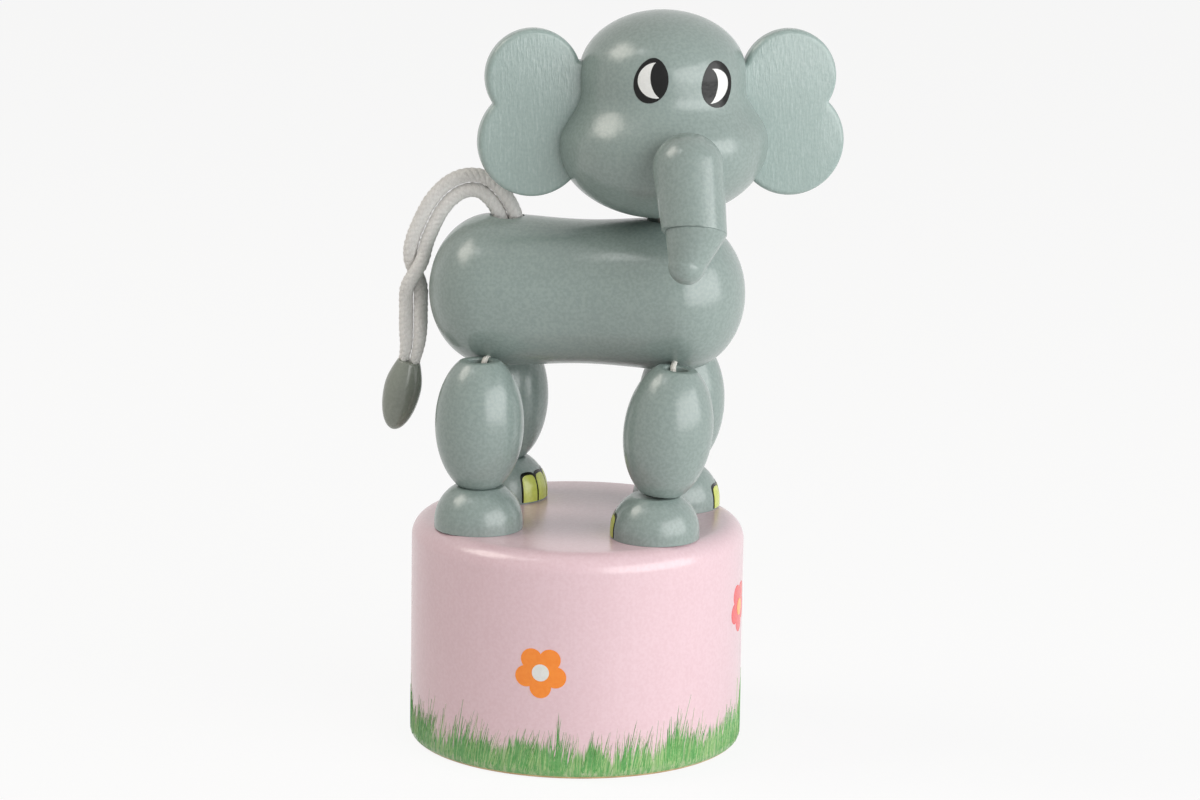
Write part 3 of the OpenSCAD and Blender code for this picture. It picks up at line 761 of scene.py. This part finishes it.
legAxes = {}
for corner, at in stance.items():
    foot, leg = "foot_" + at["cad"], "leg_" + at["cad"]
    footPlace = shift(at["x"], at["y"], drumShape["height"])
    legAxes[corner] = (shift(at["x"] + at["slip"] + legShape["flat"], at["y"], legShape["seatHeight"])
                       @ turn(at["lean"], "Y") @ shift(-legShape["flat"], 0, 0))
    settle(boredPiece("foot" + corner, footRadius, footPlace, footShape), foot, "grey_paint", foot)
    makeNails(corner, footPlace, at, nailLook)
    settle(boredPiece("leg" + corner, legRadius, legAxes[corner], legShape), leg, "grey_paint", leg)
print("feet and legs made")


# Leg strings, knotted under the button and wedged in the torso
stringLook = {"radius": 0.43, "sides": 12, "step": 0.4, "shift": 0.85, "hipAngle": 36.5, "endDepth": 8.4,
              "endSide": 0.9, "knotHeight": 7.25, "drumTop": 33.5, "footTop": 40, "bends": (39.6, 42.5),
              "ankleUp": 5, "hipDown": 3.2, "hipShift": 0.7, "inTorso": 0.5, "drawnOn": 1.12,
              "hipBends": (0.3, 0.2), "knotScale": 0.31, "knotThick": 0.44, "knotSides": 10}


def runOfString(name, route, look):
    dense = []
    for a, b in zip(route, route[1:]):
        count = max(2, int((b - a).length / look["step"]))
        dense += [a.lerp(b, i / count) for i in range(count)]
    dense.append(route[-1])
    for k in range(4):  # eases the bends
        eased = [(a + 2 * b + c) / 4 for a, b, c in zip(dense, dense[1:], dense[2:])]
        dense = [dense[0]] + eased + [dense[-1]]
    return tubePiece(name, dense, look["radius"], look["sides"], stringYarn)


def makeKnot(name, place, look):
    line = []
    for i in range(121):
        t = 2 * pi * i / 120
        x, y = sin(t) + 2 * sin(2 * t), cos(t) - 2 * cos(2 * t)
        line.append(look["knotScale"] * Vector((x, y, -sin(3 * t))))
    return tubePiece(name, line, look["knotThick"], look["knotSides"], stringYarn, place, crease=80)


def threadLeg(corner, at, look):
    side = 1 if at["y"] > 0 else -1
    leg, node = "leg_" + at["cad"], "string_" + at["cad"]

    def onLeg(height, inward=0, aside=0):
        return carried(legAxes[corner], aside, -side * inward, height)

    def run(part, *route):
        return runOfString("string" + part + corner, route, look)

    radius, flare = torsoRadius(at["hip"]), radians(look["hipAngle"])
    mouth = carried(torsoAxes, at["hip"], side * radius * sin(flare), -radius * cos(flare))
    levels = [look[name] for name in ("knotHeight", "drumTop", "footTop")]
    bottom, drumTop, footTop = [Vector((at["x"], at["y"], z)) for z in levels]
    ankle = onLeg(look["ankleUp"])
    hipLow = onLeg(legShape["height"] - look["hipDown"], look["shift"] * look["hipShift"])
    top = onLeg(legShape["height"], look["shift"], at["aside"])
    settle(makeKnot("knot" + corner, shift(*bottom), look), "button", "string_white", node)
    low = settle(run("Drum", bottom, drumTop), "base", "string_white", node)
    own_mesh(low)
    bends = [(at["x"] * mm, at["y"] * mm, z * mm) for z in look["bends"]]
    bridge(run("Ankle", drumTop, footTop, ankle), ("base", leg), *bends, "string_white", node)
    settle(run("Leg", ankle, onLeg(legShape["height"] / 2), hipLow), leg, "string_white", node)
    if "drawn" in at:  # comes out of the torso as the leg folds away from it
        drawn = mouth.lerp(Vector(at["drawn"]), look["drawnOn"])
        settle(run("Hip", hipLow, top, mouth, drawn), leg, "string_white", node)
        return
    peg = carried(tailHole, 0, side * look["endSide"], -look["endDepth"])
    hip = run("Hip", hipLow, top, mouth, mouth.lerp(peg, look["inTorso"]))
    below, above = look["hipBends"]
    bridge(hip, (leg, "torso"), (top - up * below) * mm, (mouth + up * above) * mm, "string_white", node)


for corner, at in stance.items():
    threadLeg(corner, at, stringLook)

neckCord = {"radius": 0.8, "low": -4.48, "high": 9.23, "step": 0.2, "plies": 3, "pitch": 3, "plyRadius": 0.54,
            "plyOut": 0.45, "sides": 10}


def makeNeckCord(look):  # from the peg in the torso to the one in the head
    count = int((look["high"] - look["low"]) / look["step"])
    rises = [look["low"] + (look["high"] - look["low"]) * i / count for i in range(count + 1)]
    route = [carried(torsoAxes, torsoShape["neckAt"], 0, neckRise + z) for z in rises]
    return pliedStrand("neckCord", route, [look["radius"]] * len(route), look, stringYarn)[0]


settle(makeNeckCord(neckCord), "neck", "string_white", "neck_string")
print("strings threaded")


# Torso
def makeTorso(look):
    end = look["length"] / 2 - look["bulgeAt"]
    rear = [(look["bulge"] * c, -look["bulgeAt"] - end * s) for c, s in reversed(quarter(36))]
    flank = [(torsoRadius(x), x) for x in [look["bulgeAt"] * (i / 28 - 1) for i in range(1, 56)]]
    front = [(r, -z) for r, z in reversed(rear)]
    rear[0], front[-1] = (0, rear[0][1]), (0, front[-1][1])
    place = torsoAxes @ turn(90, "Y")
    return turnedPiece("torsoBarrel", rear + flank + front, place, [greyPaint], sides=176)


def drillHole(piece, place, radius, depth, above=2):  # cuts a round hole down from place
    outline = [(0, -depth), (radius, -depth), (radius, 0), (radius, above), (0, above)]
    drill = turnedPiece("drill", outline, place, [greyPaint], sides=48)
    cut = piece.modifiers.new("hole", "BOOLEAN")
    cut.operation, cut.solver, cut.object = "DIFFERENCE", "EXACT", drill
    bpy.context.view_layer.update()
    shape = bpy.data.meshes.new_from_object(piece.evaluated_get(bpy.context.evaluated_depsgraph_get()))
    piece.modifiers.clear()
    piece.data = shape
    shape.set_sharp_from_angle(angle=radians(foldAngle))
    bpy.data.objects.remove(drill)


torsoBarrel = makeTorso(torsoShape)
for hole in (neckHole, tailHole):
    drillHole(torsoBarrel, hole, torsoShape["hole"], torsoShape["holeDepth"])
settle(torsoBarrel, "torso", "grey_paint", "torso")
print("torso made")


# Head with its painted eyes
headShape = {"cheek": 15.55, "cheekHeight": 11, "templeLow": 11.5, "templeHigh": 19.2, "brow": 12.3,
             "browHeight": 21.5, "dome": 9.2, "neckBore": 1.6, "neckDepth": 8}


def headRadius(v):
    cheek, low = headShape["cheek"], headShape["cheekHeight"]
    brow, high = headShape["brow"], headShape["browHeight"]
    if v < low:
        return cheek * sqrt(max(0, 1 - (1 - v / low) ** 2))
    if v < high:
        fall = (v - headShape["templeLow"]) / (headShape["templeHigh"] - headShape["templeLow"])
        return brow + (cheek - brow) * (1 + cos(pi * max(0, min(1, fall)))) / 2
    return brow * sqrt(max(0, 1 - ((v - high) / headShape["dome"]) ** 2))


def makeHead(look):
    low, high = look["cheekHeight"], look["browHeight"]
    chin = [(look["cheek"] * c, low * (1 - s)) for c, s in reversed(quarter(40)[:-1])]
    temple = [(headRadius(v), v) for v in [low + (high - low) * i / 30 for i in range(1, 31)]]
    crown = [(look["brow"] * c, high + look["dome"] * s) for c, s in quarter(36)[1:-1]]
    outline = [(0, 0)] + chin + temple + crown + [(0, high + look["dome"])]
    return turnedPiece("headDome", outline, headAxes, [greyPaint], sides=192)


headDome = makeHead(headShape)
drillHole(headDome, headAxes @ turn(180, "X"), headShape["neckBore"], headShape["neckDepth"])
settle(headDome, "head", "grey_paint", "head")


def onHead(degrees, v, lift):
    a = radians(degrees)
    slope = (headRadius(v + 0.05) - headRadius(v - 0.05)) / 0.1
    tall = sqrt(1 + slope * slope)
    r = headRadius(v) + lift / tall
    return Vector((r * cos(a), r * sin(a), v - lift * slope / tall))


# White and pupil: angle, height, half width in degrees, half height
eyeLook = {"proud": 0.05, "slim": 0.06, "steps": 40, "lanes": 6,
           "eyes": {"Right": {"middle": (-19.2, 21.95), "half": (11.9, 3.25), "lean": 1.5, "outward": -1,
                              "white": (-15.9, 22.0, 12.3, 2.55), "pupil": (-12.1, 22.05, 7.4, 2.7),
                              "tilt": (0, -0.48)},
                    "Left": {"middle": (29.4, 21.05), "half": (13.4, 3.4), "lean": 0.4, "outward": 1,
                             "white": (24.5, 20.85, 14.1, 2.5), "pupil": (20.6, 20.85, 8.5, 2.7),
                             "tilt": (0.5, 0.5)}}}


def makeEye(side, eye, look):  # black oval, a little slimmer at the top
    (x, y), (wide, tall) = eye["middle"], eye["half"]
    edge = []
    for a in circle(72):
        rise = sin(a)
        narrow = 1 - look["slim"] * rise
        edge.append((x + wide * narrow * cos(a) + eye["lean"] * rise, y + tall * rise))
    piece = patchPiece("eye" + side, edge, onHead, look["proud"], 9, blackPaint, headAxes)
    settle(piece, "head", "grey_paint")


def makeGlint(side, eye, look):  # white oval with the pupil's share left out
    points, faces, steps, lanes, outward = [], [], look["steps"], look["lanes"], eye["outward"]
    whiteX, whiteY, whiteWide, whiteTall = eye["white"]
    pupilX, pupilY, pupilWide, pupilTall = eye["pupil"]
    for lift in (2 * look["proud"], 0):
        for i in range(steps + 1):
            a = pi * (i / steps - 0.5)
            v = whiteY + whiteTall * sin(a)
            middle = outward * (whiteX + eye["tilt"][0] * (v - whiteY))
            outer, inner = middle + whiteWide * cos(a), middle - whiteWide * cos(a)
            covered = 1 - ((v - pupilY) / pupilTall) ** 2
            if covered > 0:
                middle = outward * (pupilX + eye["tilt"][1] * (v - pupilY))
                inner = min(outer, max(inner, middle + pupilWide * sqrt(covered)))
            for k in range(lanes + 1):
                points.append(onHead(outward * (outer + (inner - outer) * k / lanes), v, lift))
    row, layer = lanes + 1, (steps + 1) * (lanes + 1)
    for i in range(steps):
        for k in range(lanes):
            a = i * row + k
            b = layer + a
            faces += [[a, a + 1, a + row + 1, a + row], [b, b + row, b + row + 1, b + 1]]
        for k in (0, lanes):
            a = i * row + k
            faces.append([a, a + row, layer + a + row, layer + a])
    piece = addPiece("glint" + side, points, faces, headAxes, [whitePaint])
    build = opened(piece.data)
    bmesh.ops.remove_doubles(build, verts=build.verts, dist=1e-6)
    putBack(build, piece.data)
    settle(piece, "head", "grey_paint")


for side, eye in eyeLook["eyes"].items():
    makeEye(side, eye, eyeLook)
    makeGlint(side, eye, eyeLook)
print("head made")


# Ears: sawn plates with two lobes
earShape = {"thick": 2.9, "back": -2.45, "skew": 0.6, "upper": (19.2, 20.8, 7.1),
            "lower": (19.4, 11.2, 8.1), "tongue": (10, 14, 8, 23), "middle": (16.5, 16), "edge": 0.8,
            "edgeSteps": 6, "count": 260}


def earOutline(look):
    cx, cy = look["middle"]
    edge = []
    for a in circle(look["count"]):
        dx, dy = cos(a), sin(a)
        far = 0
        for x, y, r in (look["upper"], look["lower"]):
            along = (x - cx) * dx + (y - cy) * dy
            off = (x - cx) ** 2 + (y - cy) ** 2 - along ** 2
            far = max(far, along + sqrt(max(0, r * r - off)))
        left, right, low, high = look["tongue"]
        if dx < 0:
            hit = (left - cx) / dx
            if low <= cy + hit * dy <= high:
                far = max(far, hit)
            for level in (low, high):
                hit = (level - cy) / dy if abs(dy) > 1e-9 else 0
                if hit > 0 and left <= cx + hit * dx <= right:
                    far = max(far, hit)
        edge.append(Vector((cx + far * dx, cy + far * dy)))
    return edge


def makeEar(name, side, look):
    edge = earOutline(look)
    count = len(edge)
    normals = []
    for i in range(count):
        along = (edge[(i + 1) % count] - edge[i - 1]).normalized()
        normals.append(Vector((along.y, -along.x)))
    layers = [(look["edge"] * (1 - s), look["edge"] * (1 - c)) for c, s in quarter(look["edgeSteps"])]
    layers += [(inset, look["thick"] - z) for inset, z in reversed(layers)]  # back edge, then front
    points, faces = [], []
    for inset, depth in layers:
        for p, n in zip(edge, normals):
            q = p - inset * n
            points.append((look["back"] + depth, side * q.x, q.y - side * look["skew"]))
    closedStack(faces, 0, len(layers), count)
    return addPiece(name, points, faces, headAxes, [earPaint], crease=40)


settle(makeEar("earLeft", 1, earShape), "head", "ear_paint", "ear_left")
settle(makeEar("earRight", -1, earShape), "head", "ear_paint", "ear_right")
print("ears made")


# Trunk in two turned pieces with a mitred joint
trunkShape = {"out": 18.8, "rise": 10.2, "lean": -27, "roll": 55, "radius": 5.15, "joint": 4.65,
              "length": 9.7, "bend": 20, "tip": 4.4, "tipLength": 7.6, "tipEnd": 2.7, "edge": 0.16}
trunkAxes = (headAxes @ shift(trunkShape["out"], 0, trunkShape["rise"])
             @ turn(trunkShape["lean"], "Y") @ turn(trunkShape["roll"], "Z"))
tipAxes = trunkAxes @ shift(0, 0, -trunkShape["length"]) @ turn(trunkShape["bend"], "Y")


def mitred(piece, keepAbove, look):  # saws the piece along the joint's plane
    plane = shift(0, 0, -look["length"]) @ turn(look["bend"] / 2, "Y")
    plane = piece.matrix_world.inverted() @ trunkAxes @ plane
    normal = (plane.to_3x3() @ up) * (1 if keepAbove else -1)
    build = opened(piece.data)
    cut = bmesh.ops.bisect_plane(build, geom=build.verts[:] + build.edges[:] + build.faces[:],
                                 plane_co=plane.translation, plane_no=normal, clear_inner=True)
    rim = [e for e in cut["geom_cut"] if isinstance(e, bmesh.types.BMEdge)]
    face = bmesh.ops.contextual_create(build, geom=rim)["faces"]
    bmesh.ops.bevel(build, geom=[e for f in face for e in f.edges], offset=look["edge"] * mm, segments=3,
                    affect="EDGES", profile=0.5)
    putBack(build, piece.data)
    piece.data.shade_smooth()
    piece.data.set_sharp_from_angle(angle=radians(foldAngle))


def makeTrunk(look):
    slant = look["tip"] * tan(radians(look["bend"] / 2))
    reach = look["length"] + slant + 0.5  # sawn off at the joint
    slope = (look["radius"] - look["joint"]) / look["length"]
    cone = [(look["radius"] - slope * reach * (1 - i / 12), -reach * (1 - i / 12)) for i in range(12)]
    dome = bend((0, 0), look["radius"], 0, 90, 30)
    dome[-1] = (0, look["radius"])
    upper = turnedPiece("trunkUpper", [(0, -reach)] + cone + dome, trunkAxes, [greyPaint], sides=120)
    mitred(upper, True, look)
    settle(upper, "head", "grey_paint", "trunk_upper")
    stub, low, end = slant + 1, look["tipEnd"] - look["tipLength"], look["tipEnd"]
    swell = look["tip"] + (look["tip"] - end) / (look["tipLength"] - end) * stub - end
    nose = bend((0, low), end, -90, 0, 20)
    nose[0] = (0, -look["tipLength"])
    flank = [(end + swell * i / 10, low + (stub - low) * i / 10) for i in range(1, 11)]
    tip = turnedPiece("trunkTip", nose + flank + [(0, stub)], tipAxes, [greyPaint], sides=120)
    mitred(tip, False, look)
    settle(tip, "head", "grey_paint", "trunk_tip")


makeTrunk(trunkShape)
print("trunk made")


# Stage: white floor that keeps the shadow, soft lamps, pale surroundings
stageLook = {"floor": 3000, "world": 0.23, "warmth": (1, 0.97, 0.91, 1), "floorWhite": 0.89,
             "paper": (0.93, 0.93, 0.93, 1)}
lampAway = 700
lampLook = [{"name": "lampLeft", "azimuth": -78, "elevation": 48, "wide": 330, "tall": 300, "power": 1.7,
             "glow": (1, 0.95, 0.87)},
            {"name": "lampRight", "azimuth": 61, "elevation": 12, "wide": 940, "tall": 560, "power": 5.95,
             "glow": (1, 1, 1)},
            {"name": "lampFront", "azimuth": -42, "elevation": 62, "wide": 80, "tall": 80, "power": 0.17,
             "glow": (1, 1, 1)}]


def seenDirectly(tree):  # camera, mirror and glass rays
    rays = addNode(tree, "LightPath")
    first = sums(tree, "MAXIMUM", rays.outputs["Is Camera Ray"], rays.outputs["Is Glossy Ray"])
    return sums(tree, "MAXIMUM", first, rays.outputs["Is Transmission Ray"])


def chosen(tree, output, share, lit, seen):  # lit for the object, seen for the eye
    pick = addNode(tree, "MixShader", {0: share, 1: lit.outputs[0], 2: seen.outputs[0]})
    addNode(tree, output, {0: pick.outputs[0]})


def makeWorld(look):
    world = bpy.data.worlds.new("studio")
    bpy.context.scene.world = world
    tree = emptyTree(world)
    seen = addNode(tree, "Background", {"Color": (1, 1, 1, 1), "Strength": 1})
    lit = addNode(tree, "Background", {"Color": look["warmth"], "Strength": look["world"]})
    chosen(tree, "OutputWorld", seenDirectly(tree), lit, seen)


def makeFloor(look):
    white = bpy.data.materials.new("whiteFloor")
    tree = emptyTree(white)
    paper = addNode(tree, "BsdfDiffuse", {"Color": look["paper"]})
    glow = addNode(tree, "Emission", {"Strength": 1})
    share = sums(tree, "MULTIPLY", seenDirectly(tree), look["floorWhite"])
    chosen(tree, "OutputMaterial", share, paper, glow)
    corners = [(x * look["floor"], y * look["floor"], 0) for x, y in ((-1, -1), (1, -1), (1, 1), (-1, 1))]
    addPiece("floor", corners, [[0, 1, 2, 3]], atOrigin, [white])


def hangLamp(look):
    lamp = bpy.data.lights.new(look["name"], "AREA")
    lamp.shape, lamp.energy, lamp.color = "RECTANGLE", look["power"], look["glow"]
    lamp.size, lamp.size_y = look["wide"] * mm, look["tall"] * mm
    away = towards(look["azimuth"], look["elevation"])
    place = shift(*(Vector(cameraView["aim"]) + lampAway * away))
    addObject(look["name"], lamp, place @ away.to_track_quat("Z", "Y").to_matrix().to_4x4())


makeWorld(stageLook)
makeFloor(stageLook)
for lampOf in lampLook:
    hangLamp(lampOf)
bpy.context.scene.view_settings.view_transform = "Standard"
print("stage lit")
